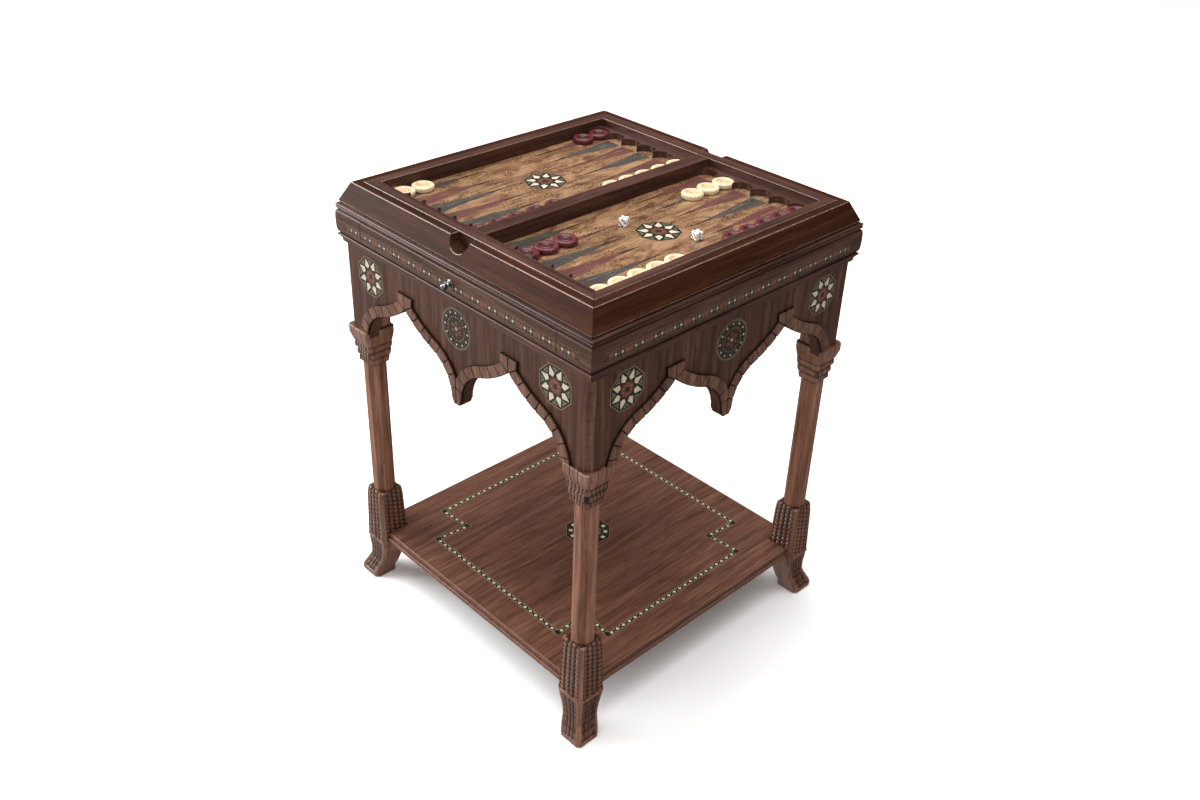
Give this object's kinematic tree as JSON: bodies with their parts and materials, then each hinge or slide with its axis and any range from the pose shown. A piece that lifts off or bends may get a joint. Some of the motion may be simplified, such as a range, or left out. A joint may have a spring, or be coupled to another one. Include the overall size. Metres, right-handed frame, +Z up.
{
  "type": "backgammon games table",
  "caption": "Square carved-walnut games table with arched aprons, an inlaid shelf, a frieze drawer and a lift-out backgammon tray set with red and cream checkers and dice.",
  "frame": {"origin": "centre of the footprint, on the floor", "axes": "+Z up; the drawer front and one finger notch face -Y; +X is to the right seen from the front"},
  "size_m": [0.581, 0.5915, 0.75],
  "materials": {
    "walnut": "satin",
    "red_walnut": "gloss",
    "light_walnut": "satin",
    "carcass_wood": "matt",
    "rim_walnut": "gloss",
    "burl": "gloss",
    "red_checker": "gloss",
    "boxwood": "gloss",
    "dice_white": "gloss",
    "knob_metal": "polished"
  },
  "bodies": {
    "table": {"leg_front_right": "walnut", "leg_back_right": "walnut", "leg_back_left": "walnut", "leg_front_left": "walnut", "apron_front": "walnut", "apron_right": "walnut", "apron_back": "walnut", "apron_left": "walnut", "arch_trim_front": "light_walnut", "arch_trim_right": "light_walnut", "arch_trim_back": "light_walnut", "arch_trim_left": "light_walnut", "shelf": "red_walnut", "carcass_bottom": "carcass_wood", "cove_moulding": "red_walnut", "frieze_boards": "red_walnut", "drawer_guides": "carcass_wood", "case_floor": "carcass_wood", "bead_moulding": "red_walnut", "case_moulding": "walnut"},
    "game_tray": {"tray_rim": "rim_walnut", "centre_bar": "rim_walnut", "playing_field_left": "burl", "playing_field_right": "burl", "pocket_ledges": "rim_walnut"},
    "drawer": {"drawer_front": "red_walnut", "drawer_box": "carcass_wood", "drawer_knob": "knob_metal"},
    "red_checker_01": {"red_checker_01": "red_checker"},
    "red_checker_02": {"red_checker_02": "red_checker"},
    "red_checker_03": {"red_checker_03": "red_checker"},
    "red_checker_04": {"red_checker_04": "red_checker"},
    "red_checker_05": {"red_checker_05": "red_checker"},
    "red_checker_06": {"red_checker_06": "red_checker"},
    "red_checker_07": {"red_checker_07": "red_checker"},
    "red_checker_08": {"red_checker_08": "red_checker"},
    "red_checker_09": {"red_checker_09": "red_checker"},
    "red_checker_10": {"red_checker_10": "red_checker"},
    "red_checker_11": {"red_checker_11": "red_checker"},
    "red_checker_12": {"red_checker_12": "red_checker"},
    "red_checker_13": {"red_checker_13": "red_checker"},
    "red_checker_14": {"red_checker_14": "red_checker"},
    "red_checker_15": {"red_checker_15": "red_checker"},
    "cream_checker_01": {"cream_checker_01": "boxwood"},
    "cream_checker_02": {"cream_checker_02": "boxwood"},
    "cream_checker_03": {"cream_checker_03": "boxwood"},
    "cream_checker_04": {"cream_checker_04": "boxwood"},
    "cream_checker_05": {"cream_checker_05": "boxwood"},
    "cream_checker_06": {"cream_checker_06": "boxwood"},
    "cream_checker_07": {"cream_checker_07": "boxwood"},
    "cream_checker_08": {"cream_checker_08": "boxwood"},
    "cream_checker_09": {"cream_checker_09": "boxwood"},
    "cream_checker_10": {"cream_checker_10": "boxwood"},
    "cream_checker_11": {"cream_checker_11": "boxwood"},
    "cream_checker_12": {"cream_checker_12": "boxwood"},
    "cream_checker_13": {"cream_checker_13": "boxwood"},
    "cream_checker_14": {"cream_checker_14": "boxwood"},
    "cream_checker_15": {"cream_checker_15": "boxwood"},
    "die_01": {"die_01": "dice_white"},
    "die_02": {"die_02": "dice_white"}
  },
  "joints": [
    {"name": "tray_lift", "type": "slide", "parent": "table", "child": "game_tray", "axis": [0, 0, 1], "range_m": [0, 0.1]},
    {"name": "drawer_slide", "type": "slide", "parent": "table", "child": "drawer", "axis": [0, -1, 0], "range_m": [0, 0.28]},
    {"name": "red_checker_01_lift", "type": "slide", "parent": "game_tray", "child": "red_checker_01", "axis": [0, 0, 1], "range_m": [0, 0.06]},
    {"name": "red_checker_02_lift", "type": "slide", "parent": "game_tray", "child": "red_checker_02", "axis": [0, 0, 1], "range_m": [0, 0.06]},
    {"name": "red_checker_03_lift", "type": "slide", "parent": "game_tray", "child": "red_checker_03", "axis": [0, 0, 1], "range_m": [0, 0.06]},
    {"name": "red_checker_04_lift", "type": "slide", "parent": "game_tray", "child": "red_checker_04", "axis": [0, 0, 1], "range_m": [0, 0.06]},
    {"name": "red_checker_05_lift", "type": "slide", "parent": "game_tray", "child": "red_checker_05", "axis": [0, 0, 1], "range_m": [0, 0.06]},
    {"name": "red_checker_06_lift", "type": "slide", "parent": "game_tray", "child": "red_checker_06", "axis": [0, 0, 1], "range_m": [0, 0.06]},
    {"name": "red_checker_07_lift", "type": "slide", "parent": "game_tray", "child": "red_checker_07", "axis": [0, 0, 1], "range_m": [0, 0.06]},
    {"name": "red_checker_08_lift", "type": "slide", "parent": "game_tray", "child": "red_checker_08", "axis": [0, 0, 1], "range_m": [0, 0.06]},
    {"name": "red_checker_09_lift", "type": "slide", "parent": "game_tray", "child": "red_checker_09", "axis": [0, 0, 1], "range_m": [0, 0.06]},
    {"name": "red_checker_10_lift", "type": "slide", "parent": "game_tray", "child": "red_checker_10", "axis": [0, 0, 1], "range_m": [0, 0.06]},
    {"name": "red_checker_11_lift", "type": "slide", "parent": "game_tray", "child": "red_checker_11", "axis": [0, 0, 1], "range_m": [0, 0.06]},
    {"name": "red_checker_12_lift", "type": "slide", "parent": "game_tray", "child": "red_checker_12", "axis": [0, 0, 1], "range_m": [0, 0.06]},
    {"name": "red_checker_13_lift", "type": "slide", "parent": "game_tray", "child": "red_checker_13", "axis": [0, 0, 1], "range_m": [0, 0.06]},
    {"name": "red_checker_14_lift", "type": "slide", "parent": "game_tray", "child": "red_checker_14", "axis": [0, 0, 1], "range_m": [0, 0.06]},
    {"name": "red_checker_15_lift", "type": "slide", "parent": "game_tray", "child": "red_checker_15", "axis": [0, 0, 1], "range_m": [0, 0.06]},
    {"name": "cream_checker_01_lift", "type": "slide", "parent": "game_tray", "child": "cream_checker_01", "axis": [0, 0, 1], "range_m": [0, 0.06]},
    {"name": "cream_checker_02_lift", "type": "slide", "parent": "game_tray", "child": "cream_checker_02", "axis": [0, 0, 1], "range_m": [0, 0.06]},
    {"name": "cream_checker_03_lift", "type": "slide", "parent": "game_tray", "child": "cream_checker_03", "axis": [0, 0, 1], "range_m": [0, 0.06]},
    {"name": "cream_checker_04_lift", "type": "slide", "parent": "game_tray", "child": "cream_checker_04", "axis": [0, 0, 1], "range_m": [0, 0.06]},
    {"name": "cream_checker_05_lift", "type": "slide", "parent": "game_tray", "child": "cream_checker_05", "axis": [0, 0, 1], "range_m": [0, 0.06]},
    {"name": "cream_checker_06_lift", "type": "slide", "parent": "game_tray", "child": "cream_checker_06", "axis": [0, 0, 1], "range_m": [0, 0.06]},
    {"name": "cream_checker_07_lift", "type": "slide", "parent": "game_tray", "child": "cream_checker_07", "axis": [0, 0, 1], "range_m": [0, 0.06]},
    {"name": "cream_checker_08_lift", "type": "slide", "parent": "game_tray", "child": "cream_checker_08", "axis": [0, 0, 1], "range_m": [0, 0.06]},
    {"name": "cream_checker_09_lift", "type": "slide", "parent": "game_tray", "child": "cream_checker_09", "axis": [0, 0, 1], "range_m": [0, 0.06]},
    {"name": "cream_checker_10_lift", "type": "slide", "parent": "game_tray", "child": "cream_checker_10", "axis": [0, 0, 1], "range_m": [0, 0.06]},
    {"name": "cream_checker_11_lift", "type": "slide", "parent": "game_tray", "child": "cream_checker_11", "axis": [0, 0, 1], "range_m": [0, 0.06]},
    {"name": "cream_checker_12_lift", "type": "slide", "parent": "game_tray", "child": "cream_checker_12", "axis": [0, 0, 1], "range_m": [0, 0.06]},
    {"name": "cream_checker_13_lift", "type": "slide", "parent": "game_tray", "child": "cream_checker_13", "axis": [0, 0, 1], "range_m": [0, 0.06]},
    {"name": "cream_checker_14_lift", "type": "slide", "parent": "game_tray", "child": "cream_checker_14", "axis": [0, 0, 1], "range_m": [0, 0.06]},
    {"name": "cream_checker_15_lift", "type": "slide", "parent": "game_tray", "child": "cream_checker_15", "axis": [0, 0, 1], "range_m": [0, 0.06]},
    {"name": "die_01_lift", "type": "slide", "parent": "game_tray", "child": "die_01", "axis": [0, 0, 1], "range_m": [0, 0.06]},
    {"name": "die_02_lift", "type": "slide", "parent": "game_tray", "child": "die_02", "axis": [0, 0, 1], "range_m": [0, 0.06]}
  ]
}
